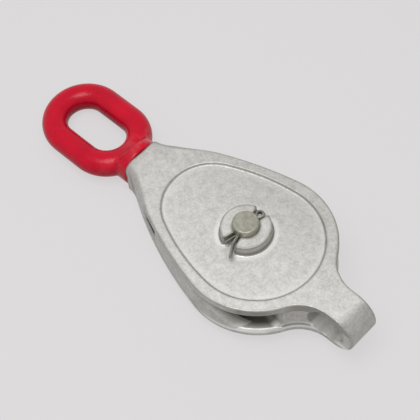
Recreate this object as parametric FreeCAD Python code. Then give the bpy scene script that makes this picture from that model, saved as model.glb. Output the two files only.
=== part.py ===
import FreeCAD, Part
import math
import os

# Single sheave pulley block: a one-piece cast shell with a becket, a grooved sheave on a pinned axle,
# and a forged oval eye that swivels in the crown. All lengths are in millimetres.
# The block lies on its rear side. +Z is the axle's axis, +X runs from the eye to the becket, and the
# origin is where the axle's axis meets the flat of the axle's head, which is the face it lies on.

# Shell outline, seen along the axle
SHELL_THICKNESS = 32.0
CHEEK_THICKNESS = 7.0
BROAD_R = 51.2
BROAD_OFFSET = 9.5
FLANK_R = 290.0
FLANK_START_DEG = 102.0
CROWN_END_X = -94.8
CROWN_HALF_WIDTH = 15.3
CROWN_BLEND_R = 22.0
CROWN_HALF_HEIGHT = 14.3
CROWN_DROP_START_X = -76.0
RIM_EDGE_R = 1.2
FRONT_GROWTH_START_X = -54.0
FRONT_DROP_EDGE_R = 5.2
FRONT_CROWN_EDGE_R = 6.5
REAR_CROWN_EDGE_R = 5.8
WINDOW_EDGE_R = 2.0

# Sheave pocket between the cheeks
POCKET_CROWN_X = -72.0
POCKET_CORNER_R = 4.5
TAIL_WEB_HALF_WIDTH = 25.5
TAIL_WEB_CORNER_R = 4.0
TAIL_WEB_CLEARANCE = 4.5
TAIL_LEDGE_DEPTH = 1.2
TAIL_LEDGE_END_X = 70.0

# Becket at the tail
BECKET_BORE_R = 13.0
BECKET_BORE_X = 76.0
BECKET_HALF_WIDTH = 11.7
BECKET_END_X = 97.0
BECKET_NECK_R = 26.0
BECKET_MOUTH_R = 1.2

# Sunk panel inside the cheeks' rim, and the bosses that stand in it
RIM_WIDTH = 7.6
PANEL_DEPTH = 1.5
PANEL_WALL_RUN = 1.05
PANEL_END_X = -63.7
PANEL_NARROWING = 11.0
PANEL_JOIN_R = 146.0
PANEL_EDGE_R = 1.2
PANEL_FOOT_R = 2.0
BOSS_R = 16.5
BOSS_PROUD = 6.1
REAR_BOSS_PROUD = 4.0
BOSS_DRAFT = 0.4
BOSS_EDGE_R = 0.8
BOSS_FOOT_R = 1.5
BOSS_CORNER_R = 1.2
SLOT_HALF_WIDTH = 2.8
SLOT_MOUTH_HALF_WIDTH = 4.9

# Axle and split pin
AXLE_R = 8.5
AXLE_END_PROUD = 5.3
AXLE_END_CHAMFER = 0.7
AXLE_HEAD_R = 13.0
AXLE_HEAD_T = 5.0
AXLE_HEAD_PROUD = 1.0
AXLE_HEAD_CHAMFER = 0.8
AXLE_SEAT_CLEARANCE = 0.05
HEAD_SEAT_CLEARANCE = 0.4
SPLIT_PIN_R = 1.85
SPLIT_PIN_HOLE_CLEARANCE = 0.2
SPLIT_PIN_RIM_CLEARANCE = 2.0
SPLIT_PIN_HALF_GAP = 0.05
SPLIT_PIN_EYE_R = 1.7
SPLIT_PIN_BEND_R = 3.0
SPLIT_PIN_NECK_REACH = 0.8
SPLIT_PIN_SPLAY_DEG = 13.0
SPLIT_PIN_SHORT_LEG = 7.6
SPLIT_PIN_LONG_LEG = 5.2
SPLIT_PIN_TAIL = 8.8
SPLIT_PIN_TAIL_DEG = 18.0

# Sheave, bush and side washers
SHEAVE_R = 38.0
GROOVE_R = 6.4
GROOVE_DEPTH = 9.5
GROOVE_FLARE_DEG = 15.0
RIM_SIDE_CLEARANCE = 0.8
SHEAVE_WEB_T = 7.0
SHEAVE_RIM_BAND = 3.0
SHEAVE_HUB_R = 15.0
SHEAVE_CORNER_R = 1.5
SHEAVE_LIP_R = 0.6
BUSH_WALL = 3.0
BUSH_RUNNING_CLEARANCE = 0.06
SIDE_WASHER_T = 1.5
SIDE_WASHER_R = 14.0
SIDE_PLAY = 0.1
WASHER_BORE_CLEARANCE = 0.3

# Swivel eye and its washer
EYE_BAR_R = 8.95
EYE_ARC_R = 21.0
EYE_TIP_ARC_X = -151.5
EYE_BASE_ARC_X = -128.3
COLLAR_R = 16.3
COLLAR_LENGTH = 6.4
COLLAR_SWEEP_R = 9.0
COLLAR_EDGE_R = 1.2
CROWN_GAP = 0.3
SHANK_R = 7.0
SHANK_RUNNING_CLEARANCE = 0.06
SEAT_HALF_WIDTH = 9.5
SEAT_HEIGHT = 5.5
SEAT_CORNER_R = 3.0
SWIVEL_WASHER_T = 2.5
SWIVEL_WASHER_R = 8.5
SWIVEL_PLAY = 0.25
RIVET_HEAD_R = 8.3
RIVET_HEAD_T = 5.0
RIVET_CROWN_R = 4.0

# Levels along the axle, worked out from the rear up
REAR_BOSS_Z = AXLE_HEAD_PROUD
REAR_RIM_Z = REAR_BOSS_Z + REAR_BOSS_PROUD
REAR_PANEL_Z = REAR_RIM_Z + PANEL_DEPTH
MID_Z = REAR_RIM_Z + SHELL_THICKNESS / 2
FRONT_RIM_Z = MID_Z + SHELL_THICKNESS / 2
FRONT_PANEL_Z = FRONT_RIM_Z - PANEL_DEPTH
FRONT_BOSS_Z = FRONT_RIM_Z + BOSS_PROUD
AXLE_END_Z = FRONT_BOSS_Z + AXLE_END_PROUD
SPLIT_PIN_Z = FRONT_RIM_Z + SPLIT_PIN_RIM_CLEARANCE + SPLIT_PIN_R

# Sizes that follow from those above
HALF_GAP = SHELL_THICKNESS / 2 - CHEEK_THICKNESS
RIM_HALF_WIDTH = HALF_GAP - RIM_SIDE_CLEARANCE
WASHER_MID_OFFSET = HALF_GAP - SIDE_PLAY - SIDE_WASHER_T / 2
HUB_HALF_WIDTH = HALF_GAP - 2 * SIDE_PLAY - SIDE_WASHER_T
BUSH_BORE_R = AXLE_R + BUSH_RUNNING_CLEARANCE
BUSH_R = BUSH_BORE_R + BUSH_WALL
SEAT_X = POCKET_CROWN_X + SEAT_HEIGHT
RIVET_HEAD_X = SEAT_X + SWIVEL_WASHER_T + 2 * SWIVEL_PLAY
COLLAR_X = CROWN_END_X - CROWN_GAP

# How far construction shapes run past the part, and how near a point must lie to count as on a face
REACH = 200.0
NEAR = 0.001


def vec(x, y, z=0.0):
    return FreeCAD.Vector(x, y, z)


BROAD_CENTRE = vec(BROAD_OFFSET, 0)
AXLE_CENTRE = vec(0, 0)
ALONG_X = vec(1, 0)
ALONG_Y = vec(0, 1)
UP = vec(0, 0, 1)


def line(start, end):
    return Part.makeLine(start, end)


def arc(centre, radius, start, end):
    """The shorter arc between two points about a centre."""
    outward = (start + end) * 0.5 - centre
    outward.normalize()
    return Part.Arc(start, centre + outward * radius, end).toShape()


def polyline(points):
    return [line(start, end) for start, end in zip(points, points[1:])]


def face(edges):
    return Part.Face(Part.Wire(Part.__sortEdges__(edges)))


def mirrored(edges):
    """Edges of the +Y half and their images across the middle line."""
    return edges + [edge.mirror(AXLE_CENTRE, ALONG_Y) for edge in edges]


def prism(outline, low, high):
    """An outline drawn at z = 0, extruded between two levels."""
    solid = outline.extrude(UP * (high - low))
    solid.translate(UP * low)
    return solid


def stood_up(shape):
    """A shape drawn as x and height above the middle plane, stood up in place."""
    shape.rotate(AXLE_CENTRE, ALONG_X, 90)
    shape.translate(UP * MID_Z)
    return shape


def ring(inner_r, outer_r, start, direction, length):
    outer = Part.makeCylinder(outer_r, length, start, direction)
    return outer.cut(Part.makeCylinder(inner_r, length, start, direction))


def middle(edge):
    return edge.valueAt((edge.FirstParameter + edge.LastParameter) / 2)


def radius_of(edge):
    point = middle(edge)
    return math.hypot(point.x, point.y)


def is_circle(edge, radius):
    return edge.Curve.TypeId == "Part::GeomCircle" and abs(edge.Curve.Radius - radius) < NEAR


def climbs(edge):
    return abs(edge.firstVertex().Z - edge.lastVertex().Z) > NEAR


def on_outline(edge, outline):
    """True where an edge's middle lies over the outline's border, at any level."""
    point = middle(edge)
    return outline.OuterWire.distToShape(Part.Vertex(point.x, point.y, 0))[0] < NEAR


def rounded(solid, radius, wanted):
    """The solid with a fillet along each edge that the test picks."""
    return solid.makeFillet(radius, [edge for edge in solid.Edges if wanted(edge)])


def single(shape):
    """The one solid of a boolean's result, with its split faces joined again."""
    return shape.removeSplitter().Solids[0]


# Shell casting

def shell_outline(inset=0.0):
    """The cheeks' outline with the becket's neck, running past the crown's end and the becket's end.
    An inset gives the outline that lies so far inside it all round."""
    broad_r = BROAD_R - inset
    flank_r = FLANK_R - inset
    blend_r = CROWN_BLEND_R + inset
    neck_r = BECKET_NECK_R + inset
    crown_y = CROWN_HALF_WIDTH - inset
    becket_y = BECKET_HALF_WIDTH - inset
    start = math.radians(FLANK_START_DEG)
    outward = vec(math.cos(start), math.sin(start))
    flank_start = BROAD_CENTRE + outward * broad_r
    flank_centre = flank_start - outward * flank_r
    growth_run = FRONT_GROWTH_START_X - flank_centre.x
    growth_start = vec(FRONT_GROWTH_START_X, flank_centre.y + math.sqrt(flank_r**2 - growth_run**2))
    blend_y = crown_y + blend_r
    blend_reach = flank_r + blend_r
    blend_run = math.sqrt(blend_reach**2 - (blend_y - flank_centre.y)**2)
    blend_centre = vec(flank_centre.x - blend_run, blend_y)
    blend_start = flank_centre + (blend_centre - flank_centre) * (flank_r / blend_reach)
    blend_end = vec(blend_centre.x, crown_y)
    neck_y = becket_y + neck_r
    neck_reach = broad_r + neck_r
    neck_centre = vec(BROAD_OFFSET + math.sqrt(neck_reach**2 - neck_y**2), neck_y)
    neck_start = BROAD_CENTRE + (neck_centre - BROAD_CENTRE) * (broad_r / neck_reach)
    neck_end = vec(neck_centre.x, becket_y)
    half = polyline([vec(-REACH, 0), vec(-REACH, crown_y), blend_end])
    half += [
        arc(blend_centre, blend_r, blend_end, blend_start),
        arc(flank_centre, flank_r, blend_start, growth_start),
        arc(flank_centre, flank_r, growth_start, flank_start),
        arc(BROAD_CENTRE, broad_r, flank_start, neck_start),
        arc(neck_centre, neck_r, neck_start, neck_end),
    ]
    half += polyline([neck_end, vec(REACH, becket_y), vec(REACH, 0)])
    return face(mirrored(half))


def shell_side_profile():
    """The shell seen from the side: level cheeks, a crown that thins a little, a round becket end."""
    half = SHELL_THICKNESS / 2
    round_x = BECKET_END_X - half
    drop_run = CROWN_DROP_START_X - CROWN_END_X
    drop = half - CROWN_HALF_HEIGHT
    drop_r = (drop_run**2 + drop**2) / (2 * drop)
    crown_corner = vec(CROWN_END_X, CROWN_HALF_HEIGHT)
    drop_start = vec(CROWN_DROP_START_X, half)
    top = [
        line(vec(CROWN_END_X, 0), crown_corner),
        arc(drop_start - ALONG_Y * drop_r, drop_r, crown_corner, drop_start),
        line(drop_start, vec(round_x, half)),
        arc(vec(round_x, 0), half, vec(round_x, half), vec(BECKET_END_X, 0)),
    ]
    return face(mirrored(top))


def is_long_edge(edge):
    """True for the edges that run along the block, and not across it or round the crown's end."""
    across = abs(edge.firstVertex().X - edge.lastVertex().X) < NEAR
    straight_across = across and edge.Curve.TypeId == "Part::GeomLine"
    return middle(edge).x > CROWN_END_X + NEAR and not straight_across


def long_edge_radius(corner):
    """The rim's edge radius at a corner of the blank, which grows towards the crown, earlier in front."""
    growth_run = FRONT_GROWTH_START_X - CROWN_DROP_START_X
    growth = min(1.0, max(0.0, (FRONT_GROWTH_START_X - corner.X) / growth_run))
    drop = max(0.0, (CROWN_DROP_START_X - corner.X) / (CROWN_DROP_START_X - CROWN_END_X))
    if corner.Z < MID_Z:
        return RIM_EDGE_R + (REAR_CROWN_EDGE_R - RIM_EDGE_R) * drop
    grown = RIM_EDGE_R + (FRONT_DROP_EDGE_R - RIM_EDGE_R) * growth
    return grown + (FRONT_CROWN_EDGE_R - FRONT_DROP_EDGE_R) * drop


def rounded_blank():
    """The two crossed outlines in one solid, with its long edges rounded."""
    upright = prism(shell_outline(), MID_Z - REACH, MID_Z + REACH)
    across = prism(shell_side_profile(), -REACH, REACH)
    blank = upright.common(stood_up(across)).Solids[0]
    document = FreeCAD.newDocument("shell")
    base = document.addObject("Part::Feature", "blank")
    base.Shape = blank
    fillet = document.addObject("Part::Fillet", "long_edges")
    fillet.Base = base
    fillet.Edges = [
        (number, long_edge_radius(edge.firstVertex()), long_edge_radius(edge.lastVertex()))
        for number, edge in enumerate(blank.Edges, start=1)
        if is_long_edge(edge)
    ]
    document.recompute()
    result = fillet.Shape.Solids[0].copy()
    FreeCAD.closeDocument(document.Name)
    return result


def tail_web():
    """The web between the cheeks behind the sheave, hollowed to clear its rim."""
    hollow_r = SHEAVE_R + TAIL_WEB_CLEARANCE
    corner = vec(math.sqrt(hollow_r**2 - TAIL_WEB_HALF_WIDTH**2), TAIL_WEB_HALF_WIDTH)
    half = [arc(AXLE_CENTRE, hollow_r, vec(hollow_r, 0), corner)]
    half += polyline([corner, vec(REACH, TAIL_WEB_HALF_WIDTH), vec(REACH, 0)])
    web = prism(face(mirrored(half)), MID_Z - HALF_GAP, MID_Z + HALF_GAP)

    def at_corner(edge):
        return climbs(edge) and abs(middle(edge).x - corner.x) < NEAR

    return rounded(web, TAIL_WEB_CORNER_R, at_corner)


def is_pocket_corner(edge):
    """True where the crown wall and the tail web meet the cheeks' inner faces."""
    point = middle(edge)
    level = abs(abs(point.z - MID_Z) - HALF_GAP) < NEAR
    at_crown = abs(point.x - POCKET_CROWN_X) < NEAR
    at_web = 0 < point.x < BECKET_END_X and abs(point.y) < TAIL_WEB_HALF_WIDTH + NEAR
    return level and (at_crown or at_web)


def sheave_pocket():
    """The space between the cheeks, open on both sides of the block."""
    corner = vec(POCKET_CROWN_X, -REACH / 2, MID_Z - HALF_GAP)
    pocket = Part.makeBox(REACH, REACH, 2 * HALF_GAP, corner).cut(tail_web())
    return rounded(pocket, POCKET_CORNER_R, is_pocket_corner)


def swivel_seat():
    """The spot on the crown wall that the swivel's washer runs on, sunk into the walls around it."""
    depth = SEAT_HEIGHT + POCKET_CORNER_R / 2
    height = 2 * HALF_GAP + POCKET_CORNER_R
    corner = vec(SEAT_X - depth, -SEAT_HALF_WIDTH, MID_Z - height / 2)
    block = Part.makeBox(depth, 2 * SEAT_HALF_WIDTH, height, corner)

    def at_corner(edge):
        return climbs(edge) and abs(middle(edge).x - SEAT_X) < NEAR

    return rounded(block, SEAT_CORNER_R, at_corner)


def panel_outline(inset):
    """The sunk panel's edge on the rim, or a line so far inside it all round.
    It is concentric with the cheek's broad end and narrower towards the crown."""
    broad_r = BROAD_R - RIM_WIDTH - inset
    narrow_r = broad_r - PANEL_NARROWING
    join_r = PANEL_JOIN_R - inset
    narrow_centre = vec(PANEL_END_X + inset + narrow_r, 0)
    spread = BROAD_OFFSET - narrow_centre.x
    from_broad = join_r - broad_r
    from_narrow = join_r - narrow_r
    join_x = narrow_centre.x + (spread**2 + from_narrow**2 - from_broad**2) / (2 * spread)
    join_centre = vec(join_x, -math.sqrt(from_broad**2 - (join_x - BROAD_OFFSET)**2))
    broad_end = BROAD_CENTRE + (BROAD_CENTRE - join_centre) * (broad_r / from_broad)
    narrow_end = narrow_centre + (narrow_centre - join_centre) * (narrow_r / from_narrow)
    broad_side = BROAD_CENTRE + ALONG_Y * broad_r
    half = [
        arc(narrow_centre, narrow_r, vec(PANEL_END_X + inset, 0), narrow_end),
        arc(join_centre, join_r, narrow_end, broad_end),
        arc(BROAD_CENTRE, broad_r, broad_end, broad_side),
        arc(BROAD_CENTRE, broad_r, broad_side, BROAD_CENTRE + ALONG_X * broad_r),
    ]
    return face(mirrored(half))


def panel_hollow(rim_z, panel_z):
    """What is cut away over a panel: it narrows by the wall's run from the rim's level to the panel's."""
    wires = []
    for inset, level in ((-PANEL_WALL_RUN, 2 * rim_z - panel_z), (PANEL_WALL_RUN, panel_z)):
        wire = panel_outline(inset).OuterWire
        wire.translate(UP * level)
        wires.append(wire)
    hollow = Part.makeLoft(wires, True, True)
    return rounded(hollow, PANEL_FOOT_R, lambda edge: abs(middle(edge).z - panel_z) < NEAR)


def with_panels(shell):
    """The shell with a panel sunk in each cheek, its wall rounded at the rim and at its foot."""
    outline = panel_outline(0)
    for rim_z, panel_z in ((FRONT_RIM_Z, FRONT_PANEL_Z), (REAR_RIM_Z, REAR_PANEL_Z)):
        shell = single(shell.cut(panel_hollow(rim_z, panel_z)))

        def at_rim(edge):
            return abs(middle(edge).z - rim_z) < NEAR and on_outline(edge, outline)

        shell = rounded(shell, PANEL_EDGE_R, at_rim)
    return shell


def slot_outline():
    """The crosswise slot through the front boss, which the split pin lies in."""
    waist_y = math.sqrt(AXLE_R**2 - SLOT_HALF_WIDTH**2)
    flare = (SLOT_MOUTH_HALF_WIDTH - SLOT_HALF_WIDTH) / (BOSS_R - waist_y)
    end_y = BOSS_R + BOSS_DRAFT + BOSS_FOOT_R
    end_half_width = SLOT_MOUTH_HALF_WIDTH + flare * (end_y - BOSS_R)
    half = polyline([
        vec(-SLOT_HALF_WIDTH, 0),
        vec(-SLOT_HALF_WIDTH, waist_y),
        vec(-end_half_width, end_y),
        vec(end_half_width, end_y),
        vec(SLOT_HALF_WIDTH, waist_y),
        vec(SLOT_HALF_WIDTH, 0),
    ])
    return face(mirrored(half))


def front_boss():
    """The front boss as the two halves that its slot leaves, each with rounded corners and top."""
    height = FRONT_BOSS_Z - FRONT_PANEL_Z
    boss = Part.makeCone(BOSS_R + BOSS_DRAFT, BOSS_R, height, UP * FRONT_PANEL_Z)
    halves = boss.cut(prism(slot_outline(), FRONT_PANEL_Z, FRONT_BOSS_Z)).Solids

    def at_corner(edge):
        return climbs(edge) and radius_of(edge) > BOSS_R

    def at_top(edge):
        return abs(middle(edge).z - FRONT_BOSS_Z) < NEAR

    halves = [rounded(half, BOSS_CORNER_R, at_corner) for half in halves]
    return [rounded(half, BOSS_EDGE_R, at_top) for half in halves]


def rear_boss():
    boss = Part.makeCone(BOSS_R, BOSS_R + BOSS_DRAFT, REAR_PANEL_Z - REAR_BOSS_Z, UP * REAR_BOSS_Z)
    return rounded(boss, BOSS_EDGE_R, lambda edge: abs(middle(edge).z - REAR_BOSS_Z) < NEAR)


def is_boss_foot(edge):
    """True where a boss meets its panel."""
    level = min(abs(middle(edge).z - FRONT_PANEL_Z), abs(middle(edge).z - REAR_PANEL_Z)) < NEAR
    return level and radius_of(edge) < BOSS_R + BOSS_DRAFT + NEAR


def with_bosses(shell):
    for boss in front_boss() + [rear_boss()]:
        shell = shell.fuse(boss)
    return rounded(single(shell), BOSS_FOOT_R, is_boss_foot)


def with_bores(shell):
    """The axle's bore and head seat, the swivel's bore and the becket's bore."""
    head_seat_r = AXLE_HEAD_R + HEAD_SEAT_CLEARANCE
    shank_bore_r = SHANK_R + SHANK_RUNNING_CLEARANCE
    bores = [
        Part.makeCylinder(AXLE_R + AXLE_SEAT_CLEARANCE, REACH, UP * REAR_BOSS_Z),
        Part.makeCylinder(head_seat_r, AXLE_HEAD_T - REAR_BOSS_Z, UP * REAR_BOSS_Z),
        Part.makeCylinder(shank_bore_r, SEAT_X - CROWN_END_X, vec(CROWN_END_X, 0, MID_Z), ALONG_X),
        Part.makeCylinder(BECKET_BORE_R, REACH, vec(BECKET_BORE_X, -REACH / 2, MID_Z), ALONG_Y),
    ]
    for bore in bores:
        shell = shell.cut(bore)
    return single(shell)


def is_window_edge(edge, outline):
    """True for the edges of the two side windows, where the pocket runs out through the flanks."""
    point = middle(edge)
    past_crown = point.x > POCKET_CROWN_X - NEAR
    short_of_tail = point.x < 0 or abs(point.y) > TAIL_WEB_HALF_WIDTH - NEAR
    in_gap = past_crown and short_of_tail and abs(point.z - MID_Z) < HALF_GAP + NEAR
    return in_gap and on_outline(edge, outline)


def tail_ledges():
    """What is cut away so that the tail web's sides lie a little inside the cheeks' outline."""
    around = Part.makeBox(TAIL_LEDGE_END_X, REACH, 2 * HALF_GAP, vec(0, -REACH / 2, MID_Z - HALF_GAP))
    return around.cut(prism(shell_outline(TAIL_LEDGE_DEPTH), MID_Z - REACH, MID_Z + REACH))


def is_becket_mouth(edge):
    """True for the edges round the becket's bore, on its flat sides and where they run into its neck."""
    point = middle(edge)
    on_bore = abs(math.hypot(point.x - BECKET_BORE_X, point.z - MID_Z) - BECKET_BORE_R) < NEAR
    return on_bore and abs(point.y) > BECKET_HALF_WIDTH - NEAR


def shell_casting():
    outline = shell_outline()
    shell = single(rounded_blank().cut(sheave_pocket()))
    shell = rounded(shell, WINDOW_EDGE_R, lambda edge: is_window_edge(edge, outline))
    shell = single(shell.cut(tail_ledges()))
    shell = with_bosses(with_panels(single(shell.fuse(swivel_seat()))))
    return rounded(with_bores(shell), BECKET_MOUTH_R, is_becket_mouth)


# Axle and its split pin

def axle_pin():
    """The axle with its flat head, and the cross hole for the split pin near its other end."""
    outline = polyline([
        vec(0, 0),
        vec(AXLE_HEAD_R - AXLE_HEAD_CHAMFER, 0),
        vec(AXLE_HEAD_R, AXLE_HEAD_CHAMFER),
        vec(AXLE_HEAD_R, AXLE_HEAD_T),
        vec(AXLE_R, AXLE_HEAD_T),
        vec(AXLE_R, AXLE_END_Z - AXLE_END_CHAMFER),
        vec(AXLE_R - AXLE_END_CHAMFER, AXLE_END_Z),
        vec(0, AXLE_END_Z),
        vec(0, 0),
    ])
    section = face(outline)
    section.rotate(AXLE_CENTRE, ALONG_X, 90)
    pin = section.revolve(AXLE_CENTRE, UP, 360)
    hole_r = SPLIT_PIN_R + SPLIT_PIN_HOLE_CLEARANCE
    hole = Part.makeCylinder(hole_r, 4 * AXLE_R, vec(0, -2 * AXLE_R, SPLIT_PIN_Z), ALONG_Y)
    return pin.cut(hole).Solids[0]


class Path:
    """A flat chain of straight runs and tangent arcs, drawn one after another."""

    def __init__(self, point, heading):
        self.point = point
        self.heading = heading
        self.edges = []

    def left(self):
        return vec(-self.heading.y, self.heading.x)

    def run(self, length):
        end = self.point + self.heading * length
        self.edges.append(line(self.point, end))
        self.point = end

    def turn(self, radius, degrees):
        """An arc to the left for a positive angle, and to the right for a negative one."""
        centre = self.point + self.left() * math.copysign(radius, degrees)
        spin = FreeCAD.Rotation(UP, degrees)
        end = centre + spin.multVec(self.point - centre)
        self.edges.append(arc(centre, radius, self.point, end))
        self.point = end
        self.heading = spin.multVec(self.heading)


def split_pin_half(side, leg, tail):
    """Half of the pin, from its eye's far point through the axle to a leg's end, on one side of x = 0."""
    between = SPLIT_PIN_EYE_R + SPLIT_PIN_BEND_R
    lean = math.degrees(math.acos((SPLIT_PIN_BEND_R + SPLIT_PIN_HALF_GAP) / between))
    eye_y = AXLE_R + SPLIT_PIN_NECK_REACH + between * math.sin(math.radians(lean))
    path = Path(vec(0, eye_y + SPLIT_PIN_EYE_R), vec(side, 0))
    path.turn(SPLIT_PIN_EYE_R, -side * 90)
    path.turn(SPLIT_PIN_EYE_R, -side * lean)
    path.turn(SPLIT_PIN_BEND_R, side * lean)
    path.run(2 * AXLE_R + SPLIT_PIN_NECK_REACH)
    path.turn(SPLIT_PIN_BEND_R, side * SPLIT_PIN_SPLAY_DEG)
    path.run(leg)
    if tail:
        path.turn(SPLIT_PIN_BEND_R, side * SPLIT_PIN_TAIL_DEG)
        path.run(tail)
    low = path.point - UP * SPLIT_PIN_R
    high = path.point + UP * SPLIT_PIN_R
    outer = path.point + path.left() * side * SPLIT_PIN_R
    section = Part.Wire([line(low, high), Part.Arc(high, outer, low).toShape()])
    centre_line = Part.Wire(path.edges)
    return centre_line.makePipeShell([section], True, False)


def axle_split_pin():
    """A split pin of half-round wire: its eye on one side of the axle, its legs spread on the other."""
    short_half = split_pin_half(-1, SPLIT_PIN_SHORT_LEG, 0)
    long_half = split_pin_half(1, SPLIT_PIN_LONG_LEG, SPLIT_PIN_TAIL)
    pin = single(short_half.fuse(long_half))
    pin.translate(UP * SPLIT_PIN_Z)
    return pin


# Sheave, bush and side washers

def sheave_section():
    """Half of the sheave's section, drawn as radius and height above its middle plane."""
    flare = math.radians(GROOVE_FLARE_DEG)
    tread_r = SHEAVE_R - GROOVE_DEPTH
    band_r = tread_r - SHEAVE_RIM_BAND
    groove_centre = vec(tread_r + GROOVE_R, 0)
    wall_start = groove_centre + vec(math.sin(flare), math.cos(flare)) * GROOVE_R
    wall_end = vec(SHEAVE_R, wall_start.y + (SHEAVE_R - wall_start.x) * math.tan(flare))
    half = [arc(groove_centre, GROOVE_R, vec(tread_r, 0), wall_start)]
    half += polyline([
        wall_start,
        wall_end,
        vec(SHEAVE_R, RIM_HALF_WIDTH),
        vec(band_r, RIM_HALF_WIDTH),
        vec(band_r, SHEAVE_WEB_T / 2),
        vec(SHEAVE_HUB_R, SHEAVE_WEB_T / 2),
        vec(SHEAVE_HUB_R, HUB_HALF_WIDTH),
        vec(BUSH_R, HUB_HALF_WIDTH),
        vec(BUSH_R, 0),
    ])
    return half


def sheave():
    """The grooved wheel, thinned between its hub and its rim."""
    wheel = stood_up(face(mirrored(sheave_section()))).revolve(AXLE_CENTRE, UP, 360)
    band_r = SHEAVE_R - GROOVE_DEPTH - SHEAVE_RIM_BAND

    def at_web(edge):
        return is_circle(edge, band_r) or is_circle(edge, SHEAVE_HUB_R)

    wheel = rounded(wheel, SHEAVE_CORNER_R, at_web)
    return rounded(wheel, SHEAVE_LIP_R, lambda edge: is_circle(edge, SHEAVE_R)).Solids[0]


def sheave_bush():
    return ring(BUSH_BORE_R, BUSH_R, UP * (MID_Z - HUB_HALF_WIDTH), UP, 2 * HUB_HALF_WIDTH)


def side_washer(side):
    """A thrust washer between the sheave's hub and a cheek: side is 1 for the front one."""
    low = MID_Z + side * WASHER_MID_OFFSET - SIDE_WASHER_T / 2
    return ring(AXLE_R + WASHER_BORE_CLEARANCE, SIDE_WASHER_R, UP * low, UP, SIDE_WASHER_T)


# Swivel eye and its washer

def eye_ring():
    """The oval ring of round bar."""
    tip = vec(EYE_TIP_ARC_X, 0)
    base = vec(EYE_BASE_ARC_X, 0)
    half = [
        arc(tip, EYE_ARC_R, tip - ALONG_X * EYE_ARC_R, tip + ALONG_Y * EYE_ARC_R),
        line(tip + ALONG_Y * EYE_ARC_R, base + ALONG_Y * EYE_ARC_R),
        arc(base, EYE_ARC_R, base + ALONG_Y * EYE_ARC_R, base + ALONG_X * EYE_ARC_R),
    ]
    centre_line = Part.Wire(Part.__sortEdges__(mirrored(half)))
    start = tip + ALONG_Y * EYE_ARC_R
    section = Part.Wire(Part.makeCircle(EYE_BAR_R, start, ALONG_X))
    bar = centre_line.makePipeShell([section], True, False)
    bar.translate(UP * MID_Z)
    return bar


def eye_collar():
    """The round collar beside the crown, swept down to the bar above and below."""
    step = vec(COLLAR_X - COLLAR_LENGTH, COLLAR_R)
    sweep_centre = step - ALONG_X * COLLAR_SWEEP_R
    foot = sweep_centre - ALONG_Y * COLLAR_SWEEP_R
    top = polyline([vec(COLLAR_X, 0), vec(COLLAR_X, COLLAR_R), step])
    top += [arc(sweep_centre, COLLAR_SWEEP_R, step, foot), line(foot, vec(foot.x, 0))]
    collar = Part.makeCylinder(COLLAR_R, COLLAR_X - foot.x, vec(foot.x, 0, MID_Z), ALONG_X)
    collar = rounded(collar, COLLAR_EDGE_R, lambda edge: abs(edge.CenterOfMass.x - COLLAR_X) < NEAR)
    return collar.common(stood_up(prism(face(mirrored(top)), -REACH, REACH)))


def eye_shank():
    """The shank that turns in the crown, headed over inside the pocket."""
    root_x = COLLAR_X - COLLAR_LENGTH
    end_x = RIVET_HEAD_X + RIVET_HEAD_T
    shank = Part.makeCylinder(SHANK_R, RIVET_HEAD_X - root_x, vec(root_x, 0, MID_Z), ALONG_X)
    head = Part.makeCylinder(RIVET_HEAD_R, RIVET_HEAD_T, vec(RIVET_HEAD_X, 0, MID_Z), ALONG_X)
    return shank.fuse(rounded(head, RIVET_CROWN_R, lambda edge: abs(edge.CenterOfMass.x - end_x) < NEAR))


def swivel_eye():
    return single(eye_ring().fuse(eye_collar()).fuse(eye_shank()))


def swivel_washer():
    start = vec(SEAT_X + SWIVEL_PLAY, 0, MID_Z)
    return ring(SHANK_R + WASHER_BORE_CLEARANCE, SWIVEL_WASHER_R, start, ALONG_X, SWIVEL_WASHER_T)


def main():
    nodes = {
        "shell_casting": shell_casting(),
        "sheave": sheave(),
        "sheave_bush": sheave_bush(),
        "sheave_washer_front": side_washer(1),
        "sheave_washer_rear": side_washer(-1),
        "axle_pin": axle_pin(),
        "axle_split_pin": axle_split_pin(),
        "swivel_eye": swivel_eye(),
        "swivel_washer": swivel_washer(),
    }
    os.makedirs("parts", exist_ok=True)
    for node, shape in nodes.items():
        print(f"{node}: valid {shape.isValid()}, solids {len(shape.Solids)}, volume {shape.Volume:.1f}")
        shape.exportStep(f"parts/{node}.step")


main()
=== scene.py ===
import math

import bmesh
import bpy
from mathutils import Matrix, Vector


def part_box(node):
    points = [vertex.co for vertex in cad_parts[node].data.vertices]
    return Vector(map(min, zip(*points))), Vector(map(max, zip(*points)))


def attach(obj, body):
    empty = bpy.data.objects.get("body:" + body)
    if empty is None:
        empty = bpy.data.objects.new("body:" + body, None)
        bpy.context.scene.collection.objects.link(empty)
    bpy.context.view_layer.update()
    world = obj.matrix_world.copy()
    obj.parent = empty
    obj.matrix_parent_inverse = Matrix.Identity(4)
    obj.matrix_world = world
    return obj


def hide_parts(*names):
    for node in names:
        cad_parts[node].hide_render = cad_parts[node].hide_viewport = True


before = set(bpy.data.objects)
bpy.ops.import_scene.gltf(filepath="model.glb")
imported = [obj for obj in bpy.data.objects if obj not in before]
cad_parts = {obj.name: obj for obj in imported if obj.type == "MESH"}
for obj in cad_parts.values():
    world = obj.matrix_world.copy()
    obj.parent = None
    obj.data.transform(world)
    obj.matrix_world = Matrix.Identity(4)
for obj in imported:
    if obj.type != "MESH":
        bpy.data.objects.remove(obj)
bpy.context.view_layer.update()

bl_info = {
    "name": "Single Sheave Pulley Block",
    "version": (1, 0, 0),
    "blender": (4, 5, 0),
    "location": "3D View > Sidebar > Pulley Block",
    "description": "Dresses a galvanised single sheave pulley block with a red swivel eye",
    "category": "Object",
}

MM = 0.001
AXIS_Y = Vector((0, 1, 0))
AXIS_Z = Vector((0, 0, 1))

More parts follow.
